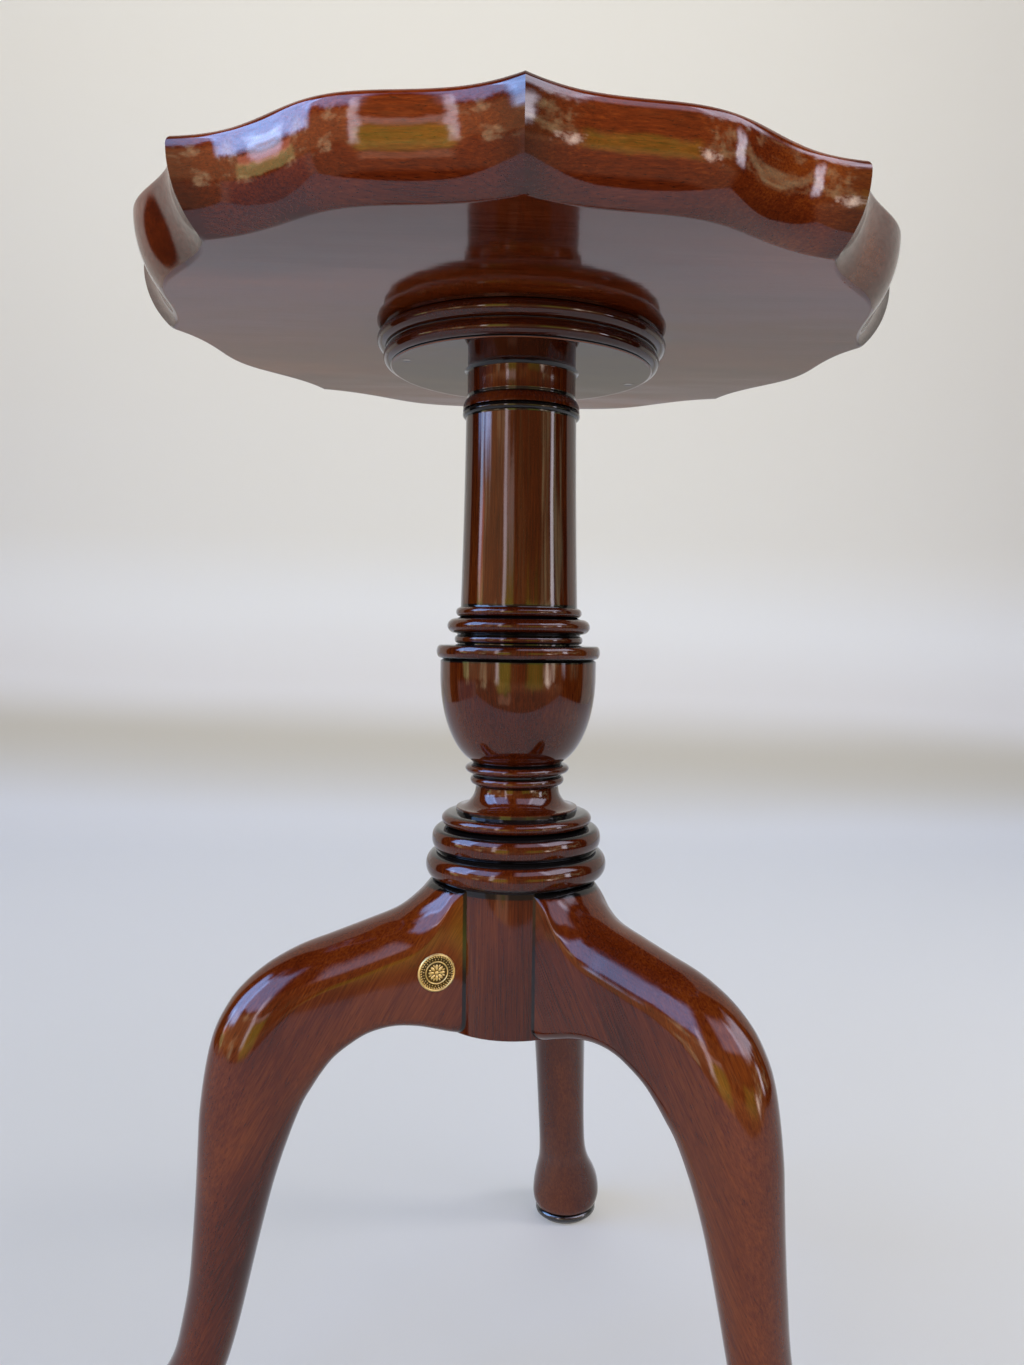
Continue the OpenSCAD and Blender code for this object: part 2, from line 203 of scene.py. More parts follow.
def bead(r0, r1, z0, z1, black_and_shade_low, black_and_shade_high):
    """Half-round bead; its roots are black up to those shares of how far it stands out: black paint in the
    grooves and, further out, painted shade above and below the bead.
    """
    points = []
    for i in range(BEAD_STEPS + 1):
        a = -math.pi / 2 + math.pi * i / BEAD_STEPS
        out = math.cos(a)
        limit = black_and_shade_low if a < 0 else black_and_shade_high
        black = smooth((limit - out) / PAINT_FADE + 0.5) if limit > 0 else 0.0
        points.append((r0 + (r1 - r0) * out, (z0 + z1) / 2 + (z1 - z0) / 2 * math.sin(a), black))
    return points


def cup(r_axis, r1, z0, z1, a0):
    """Bowl from a0 degrees below its widest radius, r1, up to it."""
    points = []
    for i in range(CUP_STEPS + 1):
        a = math.radians(a0) * (1 - i / CUP_STEPS)
        points.append((r_axis + (r1 - r_axis) * math.cos(a),
                       z1 - (z1 - z0) * math.sin(a) / math.sin(math.radians(a0)), 0.0))
    return points


def flare(r0, r1, z0, z1):
    """Quarter-hollow from radius r0 at the bottom in to r1 at the top."""
    points = []
    for i in range(FLARE_STEPS + 1):
        a = math.pi / 2 * i / FLARE_STEPS
        points.append((r1 + (r0 - r1) * (1 - math.sin(a)), z1 - (z1 - z0) * math.cos(a), 0.0))
    return points


def ovolo(r0, r1, z0, z1):
    """Quarter-round, widest at z0 and black close to its top."""
    points = []
    for i in range(OVOLO_STEPS + 1):
        a = math.pi / 2 * i / OVOLO_STEPS
        black = smooth((a - OVOLO_BLACK_FROM) / OVOLO_BLACK_FADE)
        points.append((r0 + (r1 - r0) * math.cos(a), z0 + (z1 - z0) * math.sin(a), black))
    return points


def shaft(r0, z0, r1, z1, r2, z2):
    """Gently tapering shaft through three radii."""
    points = []
    k = (z1 - z0) / (z2 - z0)
    for i in range(SHAFT_STEPS + 1):
        t = i / SHAFT_STEPS
        z = lerp(z0, z2, t)
        r = r0 * (t - k) * (t - 1) / k + r1 * t * (t - 1) / (k * (k - 1)) + r2 * t * (t - k) / (1 - k)
        points.append((r, z, 0.0))
    return points


def pillar_outline():
    """Drum, four rings, cup, beads, shaft, collar and tenon, at the heights of the CAD pillar."""
    drum_top = 302.5
    return (
        [(0, DRUM_Z, 0), (DRUM_R - 1.2, DRUM_Z, 0), (DRUM_R - 0.3, DRUM_Z + 0.3, 0),
         (DRUM_R, DRUM_Z + 1.2, 0), (DRUM_R, drum_top - 3.2, 0), (DRUM_R, drum_top - 2, 1),
         (DRUM_R, drum_top, 1)]
        # the black at each ring's roots is black paint in the grooves and, further out, painted shade above
        # and below the ring
        + bead(45, 51.1, 303.5, 318.5, 0.72, 0.55)
        + bead(44, 47.8, 319.5, 331.8, 0.72, 0.55)
        + bead(38, 42.4, 332.8, 340.2, 0.7, 0.55)
        + [(34.4, 340.8, 1), (34.4, 341.6, 0.8), (34.4, 342.8, 0)]
        + flare(34, 23.4, 343.2, 355)
        + bead(24.5, 26.5, 356, 360.8, 0.7, 0.55)
        + bead(25, 29.4, 362.2, 367.6, 0.7, 0.55)
        + [(25.6, 368.5, 1)]
        + cup(19.4, 43.9, 368.8, 418, 76)
        + [(43.9, 424.6, 0), (43.9, 425.6, 1), (42.5, 426.4, 1)]
        + bead(44, 46.1, 427, 434.2, 0.55, 0.5)
        + [(34.5, 434.8, 1)]
        + bead(34.5, 36.1, 435.2, 439.6, 0.8, 0.8)
        + bead(35, 40.2, 440.6, 449.2, 0.68, 0.5)
        + bead(33, 35.4, 450, 455.2, 0.6, 0.3)
        + [(32.8, 455.8, 1), (32.8, 456.4, 0.7)]
        + shaft(32.8, 457, 31.6, 504, 30.8, 559.2)
        + [(30.8, 559.6, 0.8)]
        + bead(30.9, 32.7, 560.2, 564.2, 2, 2)
        + ovolo(29.9, 32.5, 564.4, 570.2)
        + [(29.7, 570.6, 1), (29.7, 571.2, 1), (30.1, 571.8, 0.9), (30.1, 572.4, 0)]
        # a small fillet in the corner under the block, painted dark: painted shade in that corner
        + [(30.1, BLOCK_Z - 2.2, 0), (30.2, BLOCK_Z - 1.6, 0.55), (30.9, BLOCK_Z - 0.6, 0.9),
           (31.8, BLOCK_Z, 0.5)]
        + [(19, BLOCK_Z, 0), (19, PILLAR_HIGH[2], 0), (0, PILLAR_HIGH[2], 0)]
    )


def block_outline():
    """Disc with a worn lower edge and two beads, up to the underside of the top."""
    r, z = BLOCK_R, BLOCK_Z
    groove = r - 5.2
    lower_bead = [
        (max(out, groove) if height > z + 5 else out, height, black)
        for out, height, black in bead(r - 7.4, r - 3.5, z + 1.0, z + 9.0, 0.2, 0)
    ]
    return (
        [(0, z, 0), (r - 9.4, z, 0), (r - 8.6, z, 0), (r - 8.2, z + 0.05, -1), (r - 7.6, z + 0.3, -1),
         (r - 7.4, z + 0.6, 1), (r - 7.6, z + 0.9, 1)]
        + lower_bead
        + [(r - 5.0, z + 9.15, 1)]
        + bead(r - 4.9, r, z + 9.3, z + 17.8, 0.16, 0)
        + [(r - 3.6, z + 18.0, 0.8), (r - 3.4, z + 18.2, 0), (r - 3.4, UNDER_Z, 0), (0, UNDER_Z, 0)]
    )


# ---- the scalloped top ----


def lobe_radius(t, cusp, dip, mid):
    """Outline radius at t, from a cusp (0) to mid-lobe (1)."""
    if t < DIP_SHARE:
        return dip + (cusp - dip) * (1 - t / DIP_SHARE) ** CUSP_SHARPNESS
    return dip + (mid - dip) * (1 - math.cos(math.pi * (t - DIP_SHARE) / (1 - DIP_SHARE))) / 2


PER_LOBE = 64
SIDE_STEPS = 28
LIP_STEPS = 8
DISH_STEPS = 16


def top_rings(share):
    """Rings of (radii, height) from the underside's middle to the field's, and which of them are the side.

    share says for each point of a ring how far it is from a cusp (0) to mid-lobe (1).
    """
    lip = [lobe_radius(t, CUSP_R, CUSP_R - DIP_DEPTH, CUSP_R - MID_DEPTH) for t in share]
    sole = [lobe_radius(t, CUSP_R - SOLE_CUSP_IN, CUSP_R - SOLE_DIP_IN, CUSP_R - SOLE_MID_IN) for t in share]
    toe = [FIELD_R + TOE_MARGIN + (r - CUSP_R + DIP_DEPTH) * TOE_SCALLOP for r in lip]
    rings = [([r * 0.25 for r in sole], UNDER_Z), ([r * 0.8 for r in sole], UNDER_Z)]
    rings += [([r - 2 * SOLE_ROUND for r in sole], UNDER_Z), ([r - SOLE_ROUND for r in sole], UNDER_Z)]
    rings += [([r - 0.2 for r in sole], UNDER_Z + 0.25)]
    first_side = len(rings) - 1
    for k in range(1, SIDE_STEPS + 1):
        a = SIDE_START * (1 - k / SIDE_STEPS)
        f = (math.cos(a) - math.cos(SIDE_START)) / (1 - math.cos(SIDE_START))
        z = LIP_Z - LIP_ROUND - (LIP_Z - UNDER_Z - LIP_ROUND) * math.sin(a) / math.sin(SIDE_START)
        rings.append(([lerp(s, t, f) for s, t in zip(sole, lip)], z))
    last_side = len(rings) - 1 + LIP_STEPS // 2
    for k in range(1, LIP_STEPS + 1):
        a = math.pi / 2 * k / LIP_STEPS
        z = LIP_Z - LIP_ROUND * (1 - math.sin(a))
        rings.append(([r - LIP_ROUND * (1 - math.cos(a)) for r in lip], z))
    for k in range(DISH_STEPS + 1):
        a = math.pi / 2 * k / DISH_STEPS
        radii = [r - LIP_WIDTH - (r - LIP_WIDTH - e) * (1 - math.cos(a)) for r, e in zip(lip, toe)]
        rings.append((radii, FIELD_Z + 1 + (DISH_DEPTH - 2) * (1 - math.sin(a))))
    rings.append(([FIELD_R + 1] * len(share), FIELD_Z + 1))
    rings += [([FIELD_R * part] * len(share), FIELD_Z) for part in (1, 0.7, 0.2)]
    return rings, range(first_side, last_side + 1)


def top_piece(name, material):
    """The scalloped top: flat underside, flared side, rounded lip and dished field."""
    sides = LOBES * PER_LOBE
    share = [1 - abs((i % PER_LOBE) / PER_LOBE * 2 - 1) for i in range(sides)]
    rings, side_rings = top_rings(share)
    verts, paint = [], []
    for number, (radii, z) in enumerate(rings):
        # the side is painted darker near each cusp and low down: painted shade
        low = smooth((UNDER_Z + LOW_SHADE_TOP - z) / LOW_SHADE_FADE)
        for i, r in enumerate(radii):
            a = 2 * math.pi * i / sides - math.pi / 2
            verts.append((r * math.cos(a), r * math.sin(a), z))
            near_cusp = math.exp(-(share[i] / CUSP_SHADE_SHARE) ** 2)
            painted_shade = SIDE_SHADE * max(near_cusp, LOW_SHADE_SHARE * low)
            paint.append(painted_shade if number in side_rings else 0.0)
    faces = band_faces(len(rings), sides) + end_faces(len(rings), sides)
    return finish_mesh(name, verts, faces, material, crease=30.0, paint=paint)


# ---- cabriole legs: local +X points outwards ----

# [back x, back z, front x, front z, width, height of the crown, roundness], as in the CAD legs
LEG = [
    [34, 311, 34, 222.5, 50.5, 8, 0], [44, 307, 42, 224, 50, 14, 0], [54, 298, 50, 226.3, 49.5, 19, 0],
    [66, 290, 61, 229.2, 48.5, 21, 0], [84, 284, 74, 230.4, 47.5, 21, 0],
    [102, 278.5, 86.5, 228, 46.5, 21, 0.02], [120, 273, 96.5, 222.6, 45.5, 21, 0.05],
    [137, 264.5, 104.5, 216.2, 44.5, 21, 0.1], [150, 254, 110.4, 208.4, 43.5, 21, 0.18],
    [158, 243.5, 114.6, 201.2, 42.5, 21, 0.28], [164, 231, 118.7, 193.5, 41, 21, 0.4],
    [168, 214, 122.4, 184.2, 39.5, 21, 0.52], [171, 191, 126.3, 173, 38, 20, 0.64],
    [172, 172, 130, 161.5, 36.8, 19, 0.75], [173, 150, 134.5, 146, 35.6, 18, 0.85],
    [174.5, 125, 140.5, 121.5, 34.5, 17, 0.93], [176.5, 100, 146.2, 96.5, 33.6, 15, 1],
    [180, 79, 151.2, 75.5, 33.2, 14, 1], [183.8, 63, 155.8, 59.5, 33.8, 14, 1],
    [190, 51, 160.5, 47, 37, 15, 1], [202, 38.5, 163, 34.5, 43.5, 19, 1],
    [209.8, 28, 164, 25, 47.8, 22, 1], [212.6, 18, 164, 16.5, 49.4, 24, 1],
    [211.8, 12, 164.4, 11.5, 47.8, 23, 1],
    [FOOT_RHO + SHOE_R, FOOT_Z, FOOT_RHO - SHOE_R, FOOT_Z, 2 * SHOE_R, 22, 1],
]
LEG_STEPS = 10
SECTION_STEPS = 18
CORNER_R = 7.0
RIDGE = 1.3
UNDER_RING_Z = 303.2
UNDER_RING_R = 53.0


def spline_row(rows, j, t):
    """Catmull-Rom between rows j and j + 1."""
    p0, p1, p2, p3 = (rows[min(max(k, 0), len(rows) - 1)] for k in (j - 1, j, j + 1, j + 2))
    return [
        0.5 * (2 * b + (c - a) * t + (2 * a - 5 * b + 4 * c - d) * t * t + (3 * b - a - 3 * c + d) * t ** 3)
        for a, b, c, d in zip(p0, p1, p2, p3)
    ]


def leg_section(row):
    """One closed ring of points round the leg.

    At roundness 0 it has a ridged crown on flat sides with rounded lower corners, and at 1 it is an ellipse.
    """
    back_x, back_z, front_x, front_z, width, crown, q = row
    half = math.hypot(back_x - front_x, back_z - front_z) / 2
    # a sliver of the sides always stays between the crown and the lower corners
    full = half - 0.5
    b = width / 2
    q = min(max(q, 0.0), 1.0)
    crown = min(lerp(crown, full, q), full)
    ry = min(lerp(CORNER_R, full, q), full)
    rx = lerp(CORNER_R, b, q)
    ridge = lerp(RIDGE, 1.0, q)
    points = []
    for i in range(SECTION_STEPS + 1):
        a = -math.pi / 2 + math.pi * i / SECTION_STEPS
        points.append((half - crown + crown * abs(math.cos(a)) ** ridge, b * math.sin(a)))
    for i in range(SECTION_STEPS + 1):
        a = math.pi / 2 + math.pi * i / SECTION_STEPS
        side = (b - rx) * (1 if i < SECTION_STEPS / 2 else -1 if i > SECTION_STEPS / 2 else 0)
        points.append((ry + ry * math.cos(a) - half, side + rx * math.sin(a)))
    mid_x, mid_z = (back_x + front_x) / 2, (back_z + front_z) / 2
    dir_x, dir_z = (back_x - front_x) / 2 / half, (back_z - front_z) / 2 / half
    return [(mid_x + dir_x * h, v, mid_z + dir_z * h) for h, v in points]


def leg_turn(azimuth):
    """From a leg's own axes to the table's."""
    return Matrix.Rotation(math.radians(azimuth - 90), 3, "Z")


def leg_piece(name, azimuth, material):
    """A cabriole leg through the rows of LEG; near the drum it is cut level under the lowest ring."""
    rows = [spline_row(LEG, j, k / LEG_STEPS) for j in range(len(LEG) - 1) for k in range(LEG_STEPS)]
    rows.append(LEG[-1])
    rings = [leg_section(row) for row in rows]
    verts = []
    for x, y, z in (point for ring in rings for point in ring):
        if math.hypot(x, y) < UNDER_RING_R:
            z = min(z, UNDER_RING_Z)
        verts.append(leg_turn(azimuth) @ Vector((x, y, z)))
    sides = len(rings[0])
    faces = band_faces(len(rings), sides) + end_faces(len(rings), sides)
    return finish_mesh(name, verts, faces, material, crease=50.0)


# ---- materials ----


class Nodes:
    """A thin wrapper that makes and links shader nodes in one tree."""

    def __init__(self, tree):
        self.tree = tree
        self.shader = tree.nodes.get("Principled BSDF")

    def add(self, kind, **settings):
        node = self.tree.nodes.new("ShaderNode" + kind)
        for key, value in settings.items():
            setattr(node, key, value)
        return node

    def link(self, source, target):
        self.tree.links.new(source, target)

    def stretch(self, vector, scale):
        node = self.add("Mapping")
        node.inputs["Scale"].default_value = scale
        self.link(vector, node.inputs["Vector"])
        return node.outputs["Vector"]

    def coords(self, scale, rotation=(0, 0, 0), shift=(0, 0, 0)):
        """Object coordinates, turned, shifted and then scaled."""
        where = self.add("TexCoord")
        turn = self.add("Mapping")
        turn.inputs["Rotation"].default_value = rotation
        turn.inputs["Location"].default_value = shift
        self.link(where.outputs["Object"], turn.inputs["Vector"])
        return self.stretch(turn.outputs["Vector"], scale)

    def place(self):
        """The x, y and z sockets of the object coordinates."""
        split = self.add("SeparateXYZ")
        self.link(self.add("TexCoord").outputs["Object"], split.inputs["Vector"])
        return [split.outputs[i] for i in range(3)]

    def noise(self, vector, scale=1.0, detail=2.0, roughness=0.5, distortion=0.0):
        node = self.add("TexNoise")
        node.inputs["Scale"].default_value = scale
        node.inputs["Detail"].default_value = detail
        node.inputs["Roughness"].default_value = roughness
        node.inputs["Distortion"].default_value = distortion
        self.link(vector, node.inputs["Vector"])
        return node.outputs["Fac"]

    def ramp(self, value, stops, kind="LINEAR"):
        """stops is a list of (position, grey or colour)."""
        node = self.add("ValToRGB")
        node.color_ramp.interpolation = kind
        points = node.color_ramp.elements
        while len(points) < len(stops):
            points.new(0.5)
        for point, (place, colour) in zip(points, stops):
            point.position = place
            point.color = (colour, colour, colour, 1) if isinstance(colour, float) else (*colour, 1)
        self.link(value, node.inputs["Fac"])
        return node.outputs["Color"]

    def math(self, kind, a, b=0.0):
        node = self.add("Math", operation=kind)
        for socket, value in zip(node.inputs, (a, b)):
            if isinstance(value, (int, float)):
                socket.default_value = value
            else:
                self.link(value, socket)
        return node.outputs["Value"]

    def mix(self, factor, a, b):
        """a at factor 0 and b at factor 1, each a socket, a number or a colour."""
        node = self.add("Mix", data_type="RGBA")
        for socket, value in ((node.inputs["Factor"], factor), (node.inputs[6], a), (node.inputs[7], b)):
            if isinstance(value, (int, float)):
                socket.default_value = value
            elif isinstance(value, tuple):
                socket.default_value = (*value, 1)
            else:
                self.link(value, socket)
        return node.outputs[2]

    def window(self, value, low, high, soft):
        """1 between low and high, falling to 0 over soft on both sides."""
        masks = []
        for start, end in ((low - soft, low), (high + soft, high)):
            node = self.add("MapRange", interpolation_type="SMOOTHSTEP")
            node.inputs["From Min"].default_value = start
            node.inputs["From Max"].default_value = end
            self.link(value, node.inputs["Value"])
            masks.append(node.outputs["Result"])
        return self.math("MULTIPLY", *masks)

    def ramped(self, value, zero_at, one_at):
        """0 at zero_at, 1 at one_at and straight between them."""
        node = self.add("MapRange")
        node.inputs["From Min"].default_value = zero_at
        node.inputs["From Max"].default_value = one_at
        self.link(value, node.inputs["Value"])
        return node.outputs["Result"]

    def plus(self, total, colour, mask):
        """total + colour x mask."""
        scaled = self.add("VectorMath", operation="SCALE")
        scaled.inputs[0].default_value = colour
        self.link(mask, scaled.inputs["Scale"])
        add = self.add("VectorMath", operation="ADD")
        if isinstance(total, tuple):
            add.inputs[0].default_value = total
        else:
            self.link(total, add.inputs[0])
        self.link(scaled.outputs[0], add.inputs[1])
        return add.outputs[0]

    def bump(self, height, strength, distance):
        node = self.add("Bump")
        node.inputs["Strength"].default_value = strength
        node.inputs["Distance"].default_value = distance
        self.link(height, node.inputs["Height"])
        return node.outputs["Normal"]

    def set(self, **values):
        """Values that are the same all over the surface."""
        names = {"metal": "Metallic", "rough": "Roughness", "coat": "Coat Weight", "coat_ior": "Coat IOR",
                 "coat_rough": "Coat Roughness", "sheen": "Sheen Weight", "specular": "Specular IOR Level",
                 "sheen_rough": "Sheen Roughness"}
        for key, value in values.items():
            self.shader.inputs[names[key]].default_value = value


def new_material(name):
    mat = bpy.data.materials.new(name)
    mat.use_nodes = True
    return mat, Nodes(mat.node_tree)


WOOD_DARK = (0.030, 0.0034, 0.0009)
WOOD_MID = (0.092, 0.0140, 0.0024)
WOOD_LIGHT = (0.200, 0.046, 0.0065)
PORE = (0.014, 0.003, 0.0018)
BLACK = (0.0035, 0.0032, 0.0038)
# the dark tone of small lacquer values: painted shade, and the soft edges of the black paint
DARK_TONE_AND_SHADE = (0.012, 0.0025, 0.0022)
WORN_EDGE = (0.13, 0.040, 0.015)

# how much each layer of grain counts in the wood's tone
FIGURE_SHARE, STRIPE_SHARE, FIBRE_SHARE = 0.50, 0.14, 0.36

# how much of the wood the pores and the dark tone hide, and the lacquer value at which the dark tone is full;
# the dark tone is mostly painted shade
PORE_COVER, DARK_TONE_AND_SHADE_COVER, DARK_TONE_AND_SHADE_FULL = 0.6, 0.72, 0.25
PAINT_RAGGEDNESS = 0.5

# the coat's waves beside its slow ripple: orange peel, fibres and, where it is satin, streaks
PEEL_SHARE, FIBRE_WAVE_SHARE, STREAK_SHARE = 0.035, 0.012, 0.075
WAVE_STRENGTH, WAVE_DISTANCE = 0.30, 0.0009
SATIN_ROUGHNESS, SATIN_FADE, SATIN_COAT_IOR = 0.075, 0.6, 1.58


def mahogany(name, along, shift, shade=1.0, gloss=0.04, joint_and_shade=False, satin_below=None):
    """Lacquered mahogany, with black paint, a dark tone and worn edges where the lacquer attribute says so;
    the dark tone and some of the black are painted shade.

    along is the grain's direction in the piece's own axes and shift picks another plank. shade
    multiplies the wood's colours: under 1 it is painted shade, over 1 painted light. gloss is the
    coat's roughness. joint adds a thin dark line where a leg meets the drum, and painted shade under
    the lowest ring. Below the height satin_below (mm) the coat is satin and shows the grain.
    """
    mat, m = new_material(name)
    turn = tuple(Vector(along).rotation_difference(Vector((0, 0, 1))).to_euler())
    # each layer's scale is across, across and along the grain
    figure = m.noise(m.coords((13, 13, 3.2), turn, shift), detail=3, distortion=0.8)
    stripe = m.noise(m.coords((170, 170, 9), turn, shift), detail=4, roughness=0.65)
    fibre = m.noise(m.coords((1100, 1100, 34), turn, shift), detail=2, roughness=0.7)
    pores = m.noise(m.coords((2300, 2300, 170), turn, shift), detail=1)
    fine = m.math("ADD", m.math("MULTIPLY", stripe, STRIPE_SHARE), m.math("MULTIPLY", fibre, FIBRE_SHARE))
    tone = m.math("ADD", m.math("MULTIPLY", figure, FIGURE_SHARE), fine)
    # shade scales every colour of this wood: painted light and shade
    dark, mid, light = (tuple(c * shade for c in colour) for colour in (WOOD_DARK, WOOD_MID, WOOD_LIGHT))
    wood = m.ramp(tone, [(0.34, dark), (0.50, mid), (0.68, light)])
    pore_mask = m.ramp(pores, [(0.28, 1.0), (0.38, 0.0)])
    wood = m.mix(m.math("MULTIPLY", pore_mask, PORE_COVER), wood, PORE)
    painted = m.add("Attribute", attribute_name="lacquer").outputs["Fac"]
    if joint_and_shade:
        painted = m.math("MAXIMUM", painted, joint_line_and_shade_mask(m))
    # small lacquer values darken the wood: painted shade on the top's side and by the beads, and the soft
    # edge of the black paint
    wood = m.mix(m.ramp(painted, [(0.0, 0.0), (DARK_TONE_AND_SHADE_FULL, DARK_TONE_AND_SHADE_COVER)]), wood, DARK_TONE_AND_SHADE)
    edge = m.noise(m.coords((420, 420, 420)), detail=2)
    ragged = m.math("ADD", painted, m.math("MULTIPLY", m.math("SUBTRACT", edge, 0.5), PAINT_RAGGEDNESS))
    black_mask = m.ramp(ragged, [(0.42, 0.0), (0.58, 1.0)])
    worn = m.ramp(m.math("MULTIPLY", painted, -1.0), [(0.3, 0.0), (0.7, 1.0)])
    colour = m.mix(worn, m.mix(black_mask, wood, BLACK), WORN_EDGE)
    m.link(colour, m.shader.inputs["Base Color"])
    m.link(m.ramp(stripe, [(0.3, 0.46), (0.7, 0.36)]), m.shader.inputs["Roughness"])
    m.link(m.bump(pore_mask, 0.10, 0.0002), m.shader.inputs["Normal"])
    m.set(coat=1.0, coat_rough=gloss, specular=0.0)
    ripple = m.noise(m.coords((34, 34, 13), turn), detail=1)
    peel = m.noise(m.coords((260, 260, 260)), detail=2)
    wave = m.math("ADD", ripple, m.math("MULTIPLY", peel, PEEL_SHARE))
    wave = m.math("ADD", wave, m.math("MULTIPLY", fibre, FIBRE_WAVE_SHARE))
    if satin_below is not None:
        satin = m.ramped(m.place()[2], (satin_below + SATIN_FADE) * MM, satin_below * MM)
        m.link(m.ramp(satin, [(0.0, gloss), (1.0, SATIN_ROUGHNESS)]), m.shader.inputs["Coat Roughness"])
        streaks = m.noise(m.coords((420, 420, 12), turn, shift), detail=3)
        streaks = m.math("MULTIPLY", streaks, STREAK_SHARE)
        wave = m.math("ADD", wave, m.math("MULTIPLY", streaks, satin))
        m.set(coat_ior=SATIN_COAT_IOR)
    m.link(m.bump(wave, WAVE_STRENGTH, WAVE_DISTANCE), m.shader.inputs["Coat Normal"])
    return mat


# where the dark line round the drum and the painted shade under the lowest ring start and are full: outside
# the drum, and below the lowest ring
JOINT_LINE = (1.9, 1.1)
JOINT_SHADE = (3.2, 1.8)


def joint_line_and_shade_mask(m):
    """1 in a thin dark line where a leg meets the pillar's drum, and painted shade on the leg under its
    lowest ring.
    """
    x, y, z = m.place()
    radius = m.math("SQRT", m.math("ADD", m.math("MULTIPLY", x, x), m.math("MULTIPLY", y, y)))
    line = m.ramped(radius, *((DRUM_R + gap) * MM for gap in JOINT_LINE))
    # painted shade on the leg just under the lowest ring
    under = m.ramped(z, *((UNDER_RING_Z - gap) * MM for gap in JOINT_SHADE))
    return m.math("MAXIMUM", line, under)


def black_lacquer(name):
    """The shoes' glossy black, slightly cloudy."""
    mat, m = new_material(name)
    cloud = m.noise(m.coords((90, 90, 90)), detail=3)
    m.link(m.ramp(cloud, [(0.3, (0.0030, 0.0028, 0.0030)), (0.7, (0.0075, 0.0062, 0.0060))]),
           m.shader.inputs["Base Color"])
    m.link(m.ramp(cloud, [(0.3, 0.22), (0.7, 0.34)]), m.shader.inputs["Roughness"])
    m.link(m.bump(m.noise(m.coords((500, 500, 500)), detail=2), 0.1, 0.0002), m.shader.inputs["Normal"])
    m.set(coat=1.0, coat_rough=0.06, specular=0.5)
    return mat


def brass(name):
    """Aged brass with dark dirt where the lacquer attribute says so."""
    mat, m = new_material(name)
    cloud = m.noise(m.coords((260, 260, 260)), detail=4)
    metal = m.ramp(cloud, [(0.3, (0.66, 0.50, 0.17)), (0.7, (0.90, 0.73, 0.33))])
    painted = m.add("Attribute", attribute_name="lacquer").outputs["Fac"]
    dirt = m.ramp(m.math("ADD", painted, m.math("MULTIPLY", cloud, 0.3)), [(0.48, 0.0), (0.88, 0.94)])
    m.link(m.mix(dirt, metal, (0.045, 0.028, 0.010)), m.shader.inputs["Base Color"])
    m.link(m.ramp(cloud, [(0.3, 0.34), (0.7, 0.50)]), m.shader.inputs["Roughness"])
    m.link(m.bump(m.noise(m.coords((1500, 1500, 1500)), detail=2), 0.15, 0.0001), m.shader.inputs["Normal"])
    m.set(metal=1.0)
    return mat


def plain_metal(name, dark, light, rough, metal, grain):
    """Cloudy steel, or iron under black paint, between two colours. grain is the clouds' scale."""
    mat, m = new_material(name)
    cloud = m.noise(m.coords((grain, grain, grain)), detail=4, roughness=0.6)
    m.link(m.ramp(cloud, [(0.3, dark), (0.7, light)]), m.shader.inputs["Base Color"])
    m.link(m.ramp(cloud, [(0.3, rough), (0.7, rough + 0.18)]), m.shader.inputs["Roughness"])
    m.link(m.bump(cloud, 0.25, 0.0003), m.shader.inputs["Normal"])
    m.set(metal=metal)
    return mat


def felt(name):
    """Dark fuzzy felt."""
    mat, m = new_material(name)
    fuzz = m.noise(m.coords((900, 900, 900)), detail=4, roughness=0.7)
    colour = m.ramp(fuzz, [(0.3, (0.035, 0.030, 0.026)), (0.7, (0.12, 0.105, 0.09))])
    m.link(colour, m.shader.inputs["Base Color"])
    m.link(m.bump(fuzz, 0.6, 0.0006), m.shader.inputs["Normal"])
    m.set(rough=0.95, sheen=0.5, sheen_rough=0.5)
    return mat


# the paper's painted light and shade along the sweep, from its front edge to the top of the wall: painted
# cool light on the floor, a darker warm painted shade band in the bend, pale on the wall
PAPER_LIGHT_AND_SHADE = [
    (0.00, (0.86, 0.88, 0.97)), (0.10, (0.75, 0.78, 0.81)), (0.36, (0.75, 0.78, 0.80)),
    (0.57, (0.61, 0.59, 0.50)), (0.70, (0.80, 0.81, 0.79)), (0.85, (0.88, 0.92, 0.92)),
    (1.00, (0.88, 0.90, 0.86)),
]


def paper(name):
    """Pale paper with painted light and shade: painted cool light on the floor, a warmer, darker painted
    shade band in the bend, pale again on the wall.
    """
    mat, m = new_material(name)
    where = m.add("TexCoord").outputs["Object"]
    cloud = m.noise(m.stretch(where, (0.5, 0.9, 2.2)), 1.0, 2.0)
    tooth = m.noise(m.stretch(where, (700, 700, 700)), 1.0, 2.0)
    along = m.add("Attribute", attribute_name="lacquer").outputs["Fac"]
    # the painted shade band in the bend slants a little across the sweep and drifts with soft clouds
    slant = m.math("ADD", along, m.math("MULTIPLY", m.place()[0], 0.03))
    drift = m.math("ADD", slant, m.math("MULTIPLY", m.math("SUBTRACT", cloud, 0.5), 0.12))
    m.link(m.ramp(drift, PAPER_LIGHT_AND_SHADE, "EASE"), m.shader.inputs["Base Color"])
    m.link(m.bump(tooth, 0.06, 0.0003), m.shader.inputs["Normal"])
    m.set(rough=0.85, specular=0.2)
    return mat


